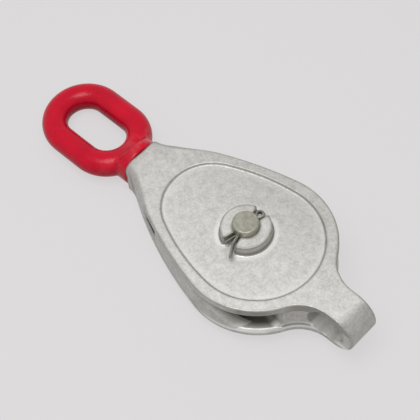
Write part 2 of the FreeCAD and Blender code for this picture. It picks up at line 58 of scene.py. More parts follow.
# The flank's line beside the crown: how much it widens along x, and its half width abreast of the axle
FLANK_RISE = 0.44
FLANK_AT_AXLE = 56.9 * MM

# Edges sharper than this stay crisp
SHARP = math.radians(35)

# By how many radians a wave texture goes on along one unit
WAVE_RATE = 20

# How far the block leans over onto the eye's tip, as it lies on its axle's head
LEAN = math.radians(4.4)

# The light: a soft lamp, a plain room that is brighter overhead, and what the floor shows of its own colour
LAMP_PLACE = Vector((0.04, -0.18, 0.84))
LAMP_AIM = Vector((-0.04, 0, 0.02))
LAMP_SIZE = 0.45
LAMP_WATTS = 3.95
ROOM_LOW = 0.3
ROOM_HIGH = 0.6
FLOOR_GLOW = 0.82

# The camera, fitted to the photo's outlines: where it stands, its lens, and its own three directions
CAMERA_PLACE = Vector((0.31037561, -0.2940737, 0.73073158))
CAMERA_LENS = 110.656
SENSOR_WIDTH = 36.0
CAMERA_RIGHT = Vector((0.7250055, 0.68549599, -0.06680031))
CAMERA_DOWN = Vector((0.55297962, -0.6371684, -0.53687054))
CAMERA_AHEAD = Vector((-0.41058565, 0.35229488, -0.8410159))

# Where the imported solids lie
SHEAVE_LOW, SHEAVE_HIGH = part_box("sheave")
BUSH_LOW, BUSH_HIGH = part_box("sheave_bush")
AXLE_LOW, AXLE_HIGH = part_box("axle_pin")
EYE_LOW, EYE_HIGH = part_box("swivel_eye")
WASHER_LOW, WASHER_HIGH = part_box("swivel_washer")
SPLIT_PIN_LOW, SPLIT_PIN_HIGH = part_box("axle_split_pin")
MID_Z = (SHEAVE_LOW.z + SHEAVE_HIGH.z) / 2
PIN_Z = (SPLIT_PIN_LOW.z + SPLIT_PIN_HIGH.z) / 2


def linear(code):
    """The linear colour of an sRGB hex value such as "c8c9c5"."""
    channels = [int(code[i:i + 2], 16) / 255 for i in (0, 2, 4)]
    return tuple(c / 12.92 if c <= 0.04045 else ((c + 0.055) / 1.055) ** 2.4 for c in channels)


def length(name, description, mm):
    return bpy.props.FloatProperty(
        name=name, description=description, default=mm * MM, min=0.0, unit="LENGTH", subtype="DISTANCE"
    )


def angle(name, description, degrees):
    return bpy.props.FloatProperty(
        name=name, description=description, default=math.radians(degrees), min=0.0, subtype="ANGLE"
    )


def colour(name, description, code):
    return bpy.props.FloatVectorProperty(
        name=name, description=description, default=linear(code), size=3, min=0.0, max=1.0, subtype="COLOR"
    )


class PulleyBlockSizes(bpy.types.PropertyGroup):
    bar_radius: length("Eye bar radius", "Radius of the round bar that the eye is forged from", 8.95)
    eye_straight: length("Eye straights", "Length of the two straight sides of the eye's ring", 23.2)
    collar_gap: length("Collar gap", "Gap between the shell's crown and the eye's collar", 0.3)
    collar_radius: length("Collar radius", "Radius of the eye's collar beside the crown", 16.3)
    collar_length: length("Collar length", "Straight part of the collar", 6.4)
    collar_sweep: length("Collar sweep", "Radius of the hollow between the collar and the bar", 9.0)
    collar_edge: length("Collar edge", "Rounding of the collar's edge beside the crown", 1.2)
    shank_radius: length("Shank radius", "Radius of the shank that turns in the crown", 7.0)
    head_radius: length("Shank head radius", "Radius of the shank's headed end", 8.3)
    head_length: length("Shank head length", "Length of the shank's headed end", 5.0)
    head_crown: length("Shank head crown", "Rounding of the shank's headed end", 4.0)
    axle_radius: length("Axle radius", "Radius of the axle", 8.5)
    axle_head: length("Axle head thickness", "Thickness of the axle's flat head", 5.0)
    cross_gap: length("Cross hole gap", "Radial gap between the axle's cross hole and the split pin", 0.2)
    axle_chamfer: length("Axle end chamfer", "Chamfer round the axle's pinned end", 0.7)
    head_chamfer: length("Axle head chamfer", "Chamfer round the axle's head", 0.8)
    bore_clearance: length("Bush clearance", "Radial gap between the bush and the axle", 0.06)
    washer_clearance: length("Washer clearance", "Radial gap between a washer and its shaft", 0.3)
    groove_radius: length("Groove radius", "Radius of the rope groove's tread", 6.4)
    groove_depth: length("Groove depth", "Depth of the rope groove below the sheave's rim", 9.5)
    hub_radius: length("Hub radius", "Outer radius of the sheave's hub", 15.0)
    web_thickness: length("Sheave web", "Thickness of the sheave between its hub and its rim", 7.0)
    rim_band: length("Rim band", "Thickness of the sheave's rim under the tread", 3.0)
    pin_radius: length("Split pin radius", "Radius of the split pin's two half-round wires together", 1.85)
    pin_eye: length("Split pin eye", "Radius that the split pin's eye is bent to", 1.7)
    pin_bend: length("Split pin bend", "Radius of the split pin's other bends", 3.0)
    pin_half_gap: length("Split pin half gap", "Half of the gap between the split pin's wires", 0.05)
    pin_reach: length("Split pin reach", "How far the split pin's straight part stands out of the axle", 0.8)
    short_leg: length("Short leg", "Length of the split pin's short leg beyond its bend", 7.6)
    long_leg: length("Long leg", "Length of the split pin's long leg up to its second bend", 5.2)
    leg_tail: length("Leg tail", "Length of the long leg's bent tip", 8.8)
    leg_splay: angle("Leg splay", "How far each leg of the split pin is bent aside", 13.0)
    tail_bend: angle("Tail bend", "How much further the long leg's tip is bent", 18.0)
    groove_flare: angle("Groove flare", "Lean of the rope groove's walls", 15.0)
    broad_radius: length("Broad end radius", "Radius of the shell's broad end", 51.2)
    broad_offset: length("Broad end offset", "How far the broad end's centre lies behind the axle", 9.5)
    flank_radius: length("Flank radius", "Radius of the shell's long flanks", 290.0)
    flank_start: angle("Flank start", "Where round the broad end the flanks begin", 102.0)
    wall_thickness: length("Flank wall", "Thickness of the walls that close the gap along the flanks", 6.5)
    wall_height: length("Flank wall height", "Height of the walls, with their roots in the cheeks", 21.6)
    wall_inset: length("Flank wall inset", "How far the flank walls lie inside the cheeks' sides", 0.06)
    wall_crown: length("Flank wall, crown end", "From the flank's start to where its wall turns in", 47.0)
    wall_slant: length("Flank wall slant", "How much further that end reaches at the rear cheek", 4.0)
    wall_round: length("Flank wall rounding", "Rounding of the flank walls' ends at the crown", 3.0)
    wall_tail: length("Flank wall, tail end", "From the flank's start to where its wall falls away", 9.0)
    wall_ramp: length("Flank wall ramp", "How much further that end reaches at the rear cheek", 42.0)
    wall_scoop: length("Flank wall scoop", "Radius by which the walls fall away to the rope's lead", 16.0)
    stub_end: length("Crown wall end", "From the flank's start to the wall at the crown", 73.0)
    stub_length: length("Crown wall length", "Length of the wall at the crown", 8.0)
    floor_size: length("Floor size", "Side of the floor", 6000.0)


class PulleyBlockColours(bpy.types.PropertyGroup):
    zinc_light: colour("Zinc, light", "The galvanised casting where it is clean", "dddcd8")
    zinc_dark: colour("Zinc, dark", "The duller blotches of the galvanised casting", "bcbab5")
    # Painted shade: a tint that darkens the steep sides
    steep_side_shade: colour("Zinc, steep", "How much duller it is on steep sides, as a tint", "e2e1e0")
    # Painted shade: a tint that darkens the side away from the light
    far_side_shade: colour("Zinc, far side", "How much duller it is away from the light, as a tint", "efefee")
    # Dirt together with painted shade in corners, in the boss's slot and along steps and edges
    grime_and_shade: colour("Grime", "What has gathered along steps and in corners", "6a675c")
    # Painted highlight at the foot of steps, on the rear cheek's lip and on the tail's ledge
    painted_zinc_highlight: colour("Zinc, pooled", "Where the zinc has run together at the foot of a step", "f4f3f0")
    # Painted shade: near black deep in the gap between the cheeks
    deep_gap_shade: colour("Pit", "Old grease deep in the gap between the cheeks", "7a766b")
    # Painted shade that stands for the short dark gap at the crown
    painted_crown_gap_shade: colour("Old grease", "What has packed the short gap at the crown", "2a2925")
    red_paint: colour("Red paint", "The paint of the eye", "c8082a")
    axle_steel: colour("Axle steel", "The dulled end of the axle", "a8a799")
    plated_steel: colour("Plated steel", "Washers and the swivel's shank", "b6b5ae")
    wire: colour("Split pin wire", "The dulled plating of the split pin", "96958b")
    bronze: colour("Bronze", "The sheave's bush", "a87a42")
    floor: colour("Floor", "The plain floor and backdrop", "dddbdc")


# Mesh helpers

def piece_from(bm, name):
    """A shown object made from a bmesh, which is freed."""
    bmesh.ops.recalc_face_normals(bm, faces=bm.faces)
    mesh = bpy.data.meshes.new(name)
    bm.to_mesh(mesh)
    bm.free()
    piece = bpy.data.objects.new(name, mesh)
    bpy.context.scene.collection.objects.link(piece)
    return piece


def turned(name, outline, steps=96):
    """A piece spun about Z from a closed outline of (radius, height) points."""
    bm = bmesh.new()
    verts = [bm.verts.new((radius, 0.0, height)) for radius, height in outline]
    pairs = zip(verts, verts[1:] + verts[:1])
    edges = [bm.edges.new(pair) for pair in pairs if pair[0].co.x > 0 or pair[1].co.x > 0]
    bmesh.ops.spin(
        bm, geom=verts + edges, cent=(0, 0, 0), axis=AXIS_Z, angle=math.tau, steps=steps, use_merge=True
    )
    bmesh.ops.remove_doubles(bm, verts=bm.verts, dist=1e-7)
    return piece_from(bm, name)


def swung(start, centre, axis, degrees, steps):
    """Points of an arc: the start point turned about a centre in equal steps, without the start itself."""
    arm = Vector(start) - Vector(centre)
    turn = math.radians(degrees) / steps
    return [Vector(centre) + Matrix.Rotation(turn * i, 3, axis) @ arm for i in range(1, steps + 1)]


def pushed(bm, edges):
    """The vertices and edges of a new ring extruded from a ring of edges."""
    made = bmesh.ops.extrude_edge_only(bm, edges=edges)["geom"]
    verts = [item for item in made if isinstance(item, bmesh.types.BMVert)]
    known = set(verts)
    edges = [item for item in made if isinstance(item, bmesh.types.BMEdge)]
    return verts, [edge for edge in edges if set(edge.verts) <= known]


class Sweep:
    """A closed section carried along straight runs and arcs in a level plane."""

    def __init__(self, section, point, heading):
        self.bm = bmesh.new()
        verts = [self.bm.verts.new(place) for place in section]
        self.edges = [self.bm.edges.new(pair) for pair in zip(verts, verts[1:] + verts[:1])]
        self.point = Vector(point)
        self.heading = Vector(heading)

    def run(self, distance, steps=1):
        for _ in range(steps):
            verts, self.edges = pushed(self.bm, self.edges)
            bmesh.ops.translate(self.bm, verts=verts, vec=self.heading * (distance / steps))
        self.point = self.point + self.heading * distance

    def turn(self, radius, degrees, steps):
        """An arc to the left for a positive angle, and to the right for a negative one."""
        centre = self.point + AXIS_Z.cross(self.heading) * math.copysign(radius, degrees)
        verts = {vert for edge in self.edges for vert in edge.verts}
        made = bmesh.ops.spin(
            self.bm, geom=list(verts) + self.edges, cent=centre,
            axis=AXIS_Z, angle=math.radians(degrees), steps=steps
        )["geom_last"]
        self.edges = [item for item in made if isinstance(item, bmesh.types.BMEdge)]
        spin = Matrix.Rotation(math.radians(degrees), 3, "Z")
        self.point = centre + spin @ (self.point - centre)
        self.heading = spin @ self.heading

    def finished(self, name):
        bmesh.ops.remove_doubles(self.bm, verts=self.bm.verts, dist=1e-7)
        ends = [edge for edge in self.bm.edges if len(edge.link_faces) == 1]
        bmesh.ops.holes_fill(self.bm, edges=ends, sides=0)
        return piece_from(self.bm, name)


def laid_along_x(piece, x):
    """Turns a piece that was spun about Z so that its axis lies along X in the block's middle plane."""
    piece.data.transform(Matrix.Translation((x, 0, MID_Z)) @ Matrix.Rotation(math.radians(90), 4, "Y"))
    return piece


def modified(piece, kind, **settings):
    modifier = piece.modifiers.new(kind.lower(), kind)
    for name, value in settings.items():
        setattr(modifier, name, value)
    return piece


def bevelled(piece, width, segments=3):
    return modified(
        piece, "BEVEL", width=width, segments=segments, limit_method="ANGLE", angle_limit=SHARP
    )


def softened(piece):
    """Smooth shading that keeps the real edges."""
    piece.data.shade_smooth()
    piece.data.set_sharp_from_angle(angle=SHARP)
    return modified(piece, "WEIGHTED_NORMAL", keep_sharp=True)


def applied(piece):
    """The piece with its modifiers made part of its mesh."""
    evaluated = piece.evaluated_get(bpy.context.evaluated_depsgraph_get())
    mesh = bpy.data.meshes.new_from_object(evaluated)
    piece.modifiers.clear()
    piece.data = mesh
    return piece


def combined(piece, other, operation):
    """The piece after a cut by, or a union with, another object that is used up."""
    modified(piece, "BOOLEAN", operation=operation, object=other)
    applied(piece)
    bpy.data.objects.remove(other)
    return piece


def settle(piece, body, node, material):
    """Gives a finished piece its finish and its body, and hides the solid that it stands for."""
    piece.data.materials.clear()
    piece.data.materials.append(material)
    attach(piece, body)
    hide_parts(node)


# Materials

def add(tree, kind, **settings):
    """A node with its settings. One that is a node or an output is linked to the input of that name."""
    node = tree.nodes.new(kind)
    for name, value in settings.items():
        if isinstance(value, bpy.types.Node):
            value = next(output for output in value.outputs if output.enabled)
        label = name.replace("_", " ")
        inputs = [s for s in node.inputs if s.enabled and (s.name == label or s.identifier == name)]
        socket = inputs[0] if inputs else None
        if isinstance(value, bpy.types.NodeSocket):
            tree.links.new(value, socket)
        elif socket:
            socket.default_value = value
        else:
            setattr(node, name, value)
    return node


def new_material(name):
    """A material with an empty tree, and the tree's object coordinates."""
    material = bpy.data.materials.new(name)
    material.use_nodes = True
    tree = material.node_tree
    tree.nodes.clear()
    return material, tree, add(tree, "ShaderNodeTexCoord").outputs["Object"]


def per(mm):
    """The scale of a pattern whose features are this many millimetres apart."""
    return 1.0 / (mm * MM)


def noise(tree, place, mm, detail, roughness=0.5):
    """A noise whose features are this many millimetres apart."""
    return add(
        tree, "ShaderNodeTexNoise", Vector=place, Scale=per(mm), Detail=detail, Roughness=roughness
    )


def ramp(tree, value, start, full, least=0.0, most=1.0):
    """Goes from least to most as the value goes from start to full, and stays level beyond them."""
    return add(
        tree, "ShaderNodeMapRange",
        Value=value, From_Min=start, From_Max=full, To_Min=least, To_Max=most
    )


def chained(tree, operation, *values):
    """What a Math node gives for the first two values, then for that and the next value, and so on."""
    result = values[0]
    for value in values[1:]:
        result = add(tree, "ShaderNodeMath", operation=operation, Value=result, Value_001=value)
    return result


def rest_of(tree, mask):
    return chained(tree, "SUBTRACT", 1.0, mask)


def magnitude(tree, value):
    return add(tree, "ShaderNodeMath", operation="ABSOLUTE", Value=value)


def split(tree, vector):
    """The X, Y and Z of a vector, by name."""
    return add(tree, "ShaderNodeSeparateXYZ", Vector=vector).outputs


def normal(tree):
    """The way that the surface faces, in the piece's own directions."""
    return add(tree, "ShaderNodeTexCoord").outputs["Normal"]


def openness(tree, distance, inside=False):
    """1 on a plain face, and less in the piece's own corners, or with inside less along its edges."""
    return add(
        tree, "ShaderNodeAmbientOcclusion",
        Distance=distance, only_local=True, inside=inside, samples=16
    ).outputs["AO"]


def laid_over(tree, under, tone, mask, blend_type="MIX"):
    """A tone laid over the colour under it, as far as the mask says."""
    return add(
        tree, "ShaderNodeMix", data_type="RGBA", blend_type=blend_type, Factor=mask, A=under, B=(*tone, 1)
    )


def galvanised(name, sizes, colours):
    """Hot-dip galvanised cast iron: pale matt zinc on a sand-cast skin. It gives the eye a fine grain with
    faint blotches, dirt and painted shade along steps and edges with a painted highlight beside it, painted
    shade on steep sides, away from the light and near black deep between the cheeks, and a soft gleam where
    it turns to the light."""
    material, tree, place = new_material(name)
    along = split(tree, place)
    facing = split(tree, normal(tree))

    # Bare zinc, blotched and flecked, with painted shade on the steep sides
    blotch = noise(tree, place, 6.0, detail=3.0, roughness=0.6)
    fleck = noise(tree, place, 1.5, detail=3.0, roughness=0.7)
    mixed = add(tree, "ShaderNodeMix", data_type="FLOAT", Factor=0.5, A=blotch, B=fleck)
    spread = ramp(tree, mixed, start=0.34, full=0.66)
    zinc = laid_over(tree, (*colours.zinc_dark, 1), colours.zinc_light, spread)
    steep = ramp(tree, magnitude(tree, facing["Z"]), start=0.985, full=0.86)
    zinc = laid_over(tree, zinc, colours.steep_side_shade, steep, "MULTIPLY")

    # Places on the block: heights are from its middle plane, and reach is from the broad end's centre
    level = chained(tree, "SUBTRACT", along["Z"], MID_Z)
    between = ramp(tree, magnitude(tree, level), start=9.8 * MM, full=9.1 * MM)
    outside = rest_of(tree, between)
    before_web = ramp(tree, along["X"], start=52 * MM, full=46 * MM)
    tailward = ramp(tree, along["X"], start=26 * MM, full=34 * MM)
    from_centre = add(
        tree, "ShaderNodeVectorMath", operation="MULTIPLY_ADD",
        Vector=place, Vector_001=(1, 1, 0), Vector_002=(-sizes.broad_offset, 0, 0)
    )
    reach = add(tree, "ShaderNodeVectorMath", operation="LENGTH", Vector=from_centre)
    off_boss = ramp(tree, reach, start=28 * MM, full=32 * MM)

    # Painted highlight: a bright line at the foot of steps, and on the rear cheek's lip and the tail's ledge
    corner = openness(tree, 5.0 * MM)
    foot = chained(
        tree, "MULTIPLY",
        ramp(tree, corner, start=0.985, full=0.9, most=0.65),
        rest_of(tree, steep)
    )
    lip = chained(
        tree, "MULTIPLY",
        ramp(tree, level, start=-13.5 * MM, full=-11.0 * MM, most=0.9),
        ramp(tree, level, start=-9.1 * MM, full=-9.8 * MM),
        ramp(tree, along["X"], start=2 * MM, full=12 * MM),
        before_web
    )
    ledge = chained(
        tree, "MULTIPLY",
        ramp(tree, level, start=-6.0 * MM, full=-8.0 * MM, most=0.6),
        ramp(tree, level, start=-12.5 * MM, full=-11.0 * MM),
        tailward
    )
    zinc = laid_over(tree, zinc, colours.painted_zinc_highlight, chained(tree, "MAXIMUM", foot, lip, ledge))

    # Painted shade on the side away from the light
    far = ramp(tree, along["Y"], start=-6 * MM, full=38 * MM)
    zinc = laid_over(tree, zinc, colours.far_side_shade, far, "MULTIPLY")

    # Dirt and painted shade: painted shade in steep nooks, in the boss's slot, along the panel's wall and on
    # the tail's sides, and dirt with painted shade along edges
    nook = ramp(tree, corner, start=0.97, full=0.7, most=0.9)
    brink = ramp(tree, openness(tree, 2.0 * MM, inside=True), start=0.97, full=0.6, most=0.8)
    slot = ramp(tree, corner, start=0.66, full=0.4, most=0.9)
    skirt = ramp(tree, corner, start=0.9, full=0.83, most=0.8)
    side = ramp(tree, magnitude(tree, facing["Y"]), start=0.4, full=0.7, most=0.6)
    upper = ramp(tree, level, start=6.5 * MM, full=8.5 * MM)
    grime_and_shade = chained(
        tree, "MAXIMUM",
        chained(tree, "MULTIPLY", nook, steep, outside),
        chained(tree, "MULTIPLY", brink, chained(tree, "MAXIMUM", outside, steep)),
        chained(tree, "MULTIPLY", slot, rest_of(tree, off_boss)),
        chained(tree, "MULTIPLY", skirt, off_boss, outside),
        chained(tree, "MULTIPLY", side, tailward, upper)
    )
    grime_and_shade = chained(tree, "MULTIPLY", grime_and_shade, rest_of(tree, ledge))
    stained_and_shaded = laid_over(tree, zinc, colours.grime_and_shade, grime_and_shade)

    # Painted shade: near black deep between the cheeks, and darker still where it stands for the short gap at
    # the crown, inside the flank's line
    depth = ramp(tree, openness(tree, 30.0 * MM), start=0.62, full=0.42)
    rim = sizes.broad_radius
    inward = ramp(tree, reach, start=rim - 1.5 * MM, full=rim - 6.0 * MM)
    pocket = chained(tree, "MULTIPLY", inward, between)
    gap_shade = chained(tree, "MULTIPLY", chained(tree, "MAXIMUM", depth, pocket), before_web)
    stained_and_shaded = laid_over(tree, stained_and_shaded, colours.deep_gap_shade, gap_shade)
    half_width = chained(tree, "ADD", chained(tree, "MULTIPLY", along["X"], FLANK_RISE), FLANK_AT_AXLE)
    within = chained(tree, "SUBTRACT", half_width, magnitude(tree, along["Y"]))
    # Painted shade laid inside the flank's line at the crown, so that the short gap there looks dark and long
    crown_gap = chained(
        tree, "MULTIPLY",
        ramp(tree, within, start=0.8 * MM, full=2.5 * MM),
        ramp(tree, along["X"], start=-42 * MM, full=-46 * MM),
        between
    )
    stained_and_shaded = laid_over(tree, stained_and_shaded, colours.painted_crown_gap_shade, crown_gap)

    rough = ramp(tree, mixed, start=0.3, full=0.7, least=0.54, most=0.38)
    grain = noise(tree, place, 0.8, detail=3.0, roughness=0.6)
    dent = add(tree, "ShaderNodeBump", Height=blotch, Strength=0.6, Distance=0.35 * MM)
    skin = add(tree, "ShaderNodeBump", Height=grain, Normal=dent, Strength=0.45, Distance=0.14 * MM)
    shader = add(
        tree, "ShaderNodeBsdfPrincipled", Base_Color=stained_and_shaded, Roughness=rough, Normal=skin, Metallic=0.45
    )
    add(tree, "ShaderNodeOutputMaterial", Surface=shader)
    return material


def red_enamel(colours):
    """Dip-coated enamel on forged steel: fairly glossy, with painted shade down its sides and inside the
    ring, a little worn on the collar, with a soft ripple that breaks up its highlights."""
    material, tree, place = new_material("red_enamel_paint")
    along = split(tree, place)
    patch = noise(tree, place, 14.0, detail=3.0)
    # Painted shade: darker down the eye's sides and inside the ring, over a faint random patchiness
    value = chained(
        tree, "MULTIPLY",
        ramp(tree, patch, start=0.3, full=0.7, least=0.88, most=1.08),
        ramp(tree, magnitude(tree, split(tree, normal(tree))["Z"]), start=0.1, full=0.7, least=0.68),
        ramp(tree, openness(tree, 30.0 * MM), start=0.6, full=0.93, least=0.62)
    )
    tone = add(tree, "ShaderNodeHueSaturation", Value=value, Color=(*colours.red_paint, 1))
    rub = noise(tree, place, 9.0, detail=3.0, roughness=0.55)
    worn = chained(
        tree, "MULTIPLY",
        ramp(tree, rub, start=0.42, full=0.74, most=0.3),
        ramp(tree, along["Y"], start=-6 * MM, full=8 * MM, least=0.25),
        ramp(tree, along["X"], start=EYE_HIGH.x - 56 * MM, full=EYE_HIGH.x - 44 * MM)
    )
    tone = laid_over(tree, tone, colours.zinc_dark, worn)
    ripple = noise(tree, place, 5.0, detail=2.0)
    orange_peel = noise(tree, place, 0.9, detail=2.0)
    wave = add(tree, "ShaderNodeBump", Height=ripple, Strength=0.4, Distance=0.5 * MM)
    peel = add(tree, "ShaderNodeBump", Height=orange_peel, Normal=wave, Strength=0.2, Distance=0.08 * MM)
    rough = ramp(tree, patch, start=0.0, full=1.0, least=0.2, most=0.32)
    shader = add(tree, "ShaderNodeBsdfPrincipled", Base_Color=tone, Roughness=rough, Normal=peel, IOR=1.5)
    shader.inputs["Specular IOR Level"].default_value = 0.2
    add(tree, "ShaderNodeOutputMaterial", Surface=shader)
    return material


def machined(name, shade, ring_mm, roughness):
    """Turned or drawn metal dulled by handling. It gives the eye faint tool rings about the piece's axis, tau
    times ring_mm apart, under haze and small pits."""
    material, tree, place = new_material(name)
    rings = add(
        tree, "ShaderNodeTexWave",
        Vector=place, wave_type="RINGS", rings_direction="Z", Scale=per(ring_mm) / WAVE_RATE
    )
    haze = noise(tree, place, 2.5, detail=4.0)
    value = ramp(tree, haze, start=0.3, full=0.7, least=0.8, most=1.1)
    tone = add(tree, "ShaderNodeHueSaturation", Value=value, Color=(*shade, 1))
    rough = ramp(tree, haze, start=0.0, full=1.0, least=roughness - 0.08, most=roughness + 0.12)
    turning = add(tree, "ShaderNodeBump", Height=rings.outputs["Fac"], Strength=0.12, Distance=0.05 * MM)
    pits = add(tree, "ShaderNodeBump", Height=haze, Normal=turning, Strength=0.25, Distance=0.1 * MM)
    shader = add(
        tree, "ShaderNodeBsdfPrincipled", Base_Color=tone, Roughness=rough, Normal=pits, Metallic=0.85
    )
    add(tree, "ShaderNodeOutputMaterial", Surface=shader)
    return material


def seen_plainly(tree):
    """1 for what the camera sees, also in metal and through glass, and 0 for what lights the scene."""
    path = add(tree, "ShaderNodeLightPath").outputs
    return chained(
        tree, "ADD", path["Is Camera Ray"], path["Is Glossy Ray"], path["Is Transmission Ray"]
    )


def floor_board(colours):
    """A plain matt pale board. Part of its own colour shines through, so that shadows on it stay faint."""
    material, tree, place = new_material("matt_floor_board")
    mottle = noise(tree, place, 60.0, detail=2.0)
    value = ramp(tree, mottle, start=0.0, full=1.0, least=0.995, most=1.005)
    tone = add(tree, "ShaderNodeHueSaturation", Value=value, Color=(*colours.floor, 1))
    board = add(tree, "ShaderNodeBsdfDiffuse", Color=tone)
    glow = add(tree, "ShaderNodeEmission", Color=(*colours.floor, 1), Strength=1.0)
    share = chained(tree, "MULTIPLY", seen_plainly(tree), FLOOR_GLOW)
    lit = add(tree, "ShaderNodeMixShader", Fac=share, Shader=board, Shader_001=glow)
    add(tree, "ShaderNodeOutputMaterial", Surface=lit)
    return material


# The pieces

def split_pin_half(sizes, side, leg, tail):
    """Half of the split pin, from its eye's far point to a leg's end, on one side of x."""
    between = sizes.pin_eye + sizes.pin_bend
    lean = math.degrees(math.acos((sizes.pin_bend + sizes.pin_half_gap) / between))
    far = sizes.axle_radius + sizes.pin_reach + between * math.sin(math.radians(lean)) + sizes.pin_eye
    start = Vector((0, far, PIN_Z))
    section = [
        start + sizes.pin_radius * Vector((0, math.cos(turn), math.sin(turn)))
        for turn in (math.radians(degrees) for degrees in range(-90, 91, 15))
    ]
    wire = Sweep(section, start, (side, 0, 0))
    wire.turn(sizes.pin_eye, -side * (90 + lean), steps=18)
    wire.turn(sizes.pin_bend, side * lean, steps=8)
    wire.run(2 * sizes.axle_radius + sizes.pin_reach)
    wire.turn(sizes.pin_bend, side * math.degrees(sizes.leg_splay), steps=4)
    wire.run(leg)
    if tail:
        wire.turn(sizes.pin_bend, side * math.degrees(sizes.tail_bend), steps=6)
        wire.run(tail)
    return wire.finished("split_pin_wire_" + ("right" if side > 0 else "left"))


def eye_ring(sizes):
    """The oval ring of round bar."""
    bar_r = sizes.bar_radius
    arc_r = EYE_HIGH.y - bar_r
    tip_x = EYE_LOW.x + bar_r + arc_r
    start = Vector((tip_x, arc_r, MID_Z))
    sides = 48
    turns = [math.tau * i / sides for i in range(sides)]
    section = [start + bar_r * Vector((0, math.cos(turn), math.sin(turn))) for turn in turns]
    bar = Sweep(section, start, (-1, 0, 0))
    for _ in range(2):
        bar.turn(arc_r, 180, steps=48)
        bar.run(sizes.eye_straight, steps=10)
    return bar.finished("forged_eye")


def eye_collar(sizes, collar_x):
    """The round collar beside the crown, swept down to the bar above and below."""
    bm = bmesh.new()
    edge_r = sizes.collar_edge
    full_r = sizes.collar_radius
    place = Matrix.Translation((collar_x, 0, MID_Z)) @ Matrix.Rotation(math.radians(90), 4, "Y")
    cap = bmesh.ops.create_circle(bm, cap_ends=True, segments=96, radius=full_r - edge_r, matrix=place)
    edges = list({edge for vert in cap["verts"] for edge in vert.link_edges})
    # How far each ring stands from the crown, its radius, and half its height
    stations = []
    edge_steps, straight_steps, sweep_steps = 6, 4, 16
    for i in range(1, edge_steps + 1):
        turn = math.radians(90 * i / edge_steps)
        radius = full_r - edge_r * (1 - math.sin(turn))
        stations.append((edge_r * (1 - math.cos(turn)), radius, full_r))
    for i in range(1, straight_steps + 1):
        run = (sizes.collar_length - edge_r) * i / straight_steps
        stations.append((edge_r + run, full_r, full_r))
    for i in range(1, sweep_steps + 1):
        turn = math.radians(90 * i / sweep_steps)
        run = sizes.collar_sweep * (1 - math.cos(turn))
        stations.append((sizes.collar_length + run, full_r, full_r - sizes.collar_sweep * math.sin(turn)))
    for x, radius, half in stations:
        verts, edges = pushed(bm, edges)
        for vert in verts:
            arm = Vector((0, vert.co.y, vert.co.z - MID_Z))
            if vert.co.x > collar_x - edge_r:
                arm *= radius / arm.length
            vert.co = (collar_x - x, arm.y, MID_Z + max(-half, min(half, arm.z)))
    bmesh.ops.holes_fill(bm, edges=edges, sides=0)
    return piece_from(bm, "eye_collar")


def eye_shank(sizes, collar_x):
    """The shank that turns in the crown, with its headed end inside the pocket."""
    end = EYE_HIGH.x - collar_x
    head = end - sizes.head_length
    root = -sizes.collar_length
    shoulder = Vector((sizes.head_radius, 0, end - sizes.head_crown))
    shank_r = sizes.shank_radius
    outline = [(0.0, root), (shank_r, root), (shank_r, head), (sizes.head_radius, head)]
    outline.append((shoulder.x, shoulder.z))
    crown_centre = shoulder - Vector((sizes.head_crown, 0, 0))
    outline += [(p.x, p.z) for p in swung(shoulder, crown_centre, AXIS_Y, -90, 8)]
    outline.append((0.0, end))
    return laid_along_x(turned("headed_shank", outline, 64), collar_x)


def plain_ring(name, inner, outer, low, high, edge):
    """A flat ring about Z with softened edges."""
    ring = turned(name, [(inner, low), (outer, low), (outer, high), (inner, high)])
    return softened(bevelled(ring, edge))


def flank_wall(sizes, side, name, low_end, high_end):
    """A wall that closes the gap between the cheeks along one flank, on one side of y. Each end is where the
    wall's outside begins to round in at the front cheek, how much further it reaches at the rear cheek, and
    the radius it rounds in by, along the outline from where the flank starts."""
    low_run, low_extra, low_r = low_end
    high_run, high_extra, high_r = high_end
    flank_back = sizes.broad_radius - sizes.flank_radius
    flank_x = sizes.broad_offset + flank_back * math.cos(sizes.flank_start)
    flank_y = flank_back * math.sin(sizes.flank_start)

    def place(run, inset):
        """The point so far along the outline from where the flank starts, and so far inside it."""
        if run < 0:
            radius, x, y = sizes.flank_radius, flank_x, flank_y
        else:
            radius, x, y = sizes.broad_radius, sizes.broad_offset, 0
        turn = sizes.flank_start - run / radius
        return x + (radius - inset) * math.cos(turn), side * (y + (radius - inset) * math.sin(turn))

    bm = bmesh.new()
    levels, steps = 8, 60
    depth = sizes.wall_thickness - sizes.wall_inset
    rows = []
    for level in range(levels + 1):
        rearward = 1 - level / levels
        low = low_run - low_extra * rearward
        high = high_run + high_extra * rearward
        first = low - math.sqrt(2 * low_r * depth)
        last = high + math.sqrt(2 * high_r * depth)
        runs = [first + (last - first) * i / steps for i in range(steps + 1)]
        ring = []
        for run in runs:
            rounding = max(0.0, low - run) ** 2 / (2 * low_r) + max(0.0, run - high) ** 2 / (2 * high_r)
            ring.append(place(run, sizes.wall_inset + rounding))
        ring += [place(run, sizes.wall_thickness) for run in reversed(runs[1:-1])]
        z = MID_Z + sizes.wall_height * (level / levels - 0.5)
        rows.append([bm.verts.new((x, y, z)) for x, y in ring])
    for below, above in zip(rows, rows[1:]):
        for i in range(len(below)):
            bm.faces.new((below[i - 1], below[i], above[i], above[i - 1]))
    bm.faces.new(rows[0])
    bm.faces.new(rows[-1])
    return softened(piece_from(bm, name))


# Operators

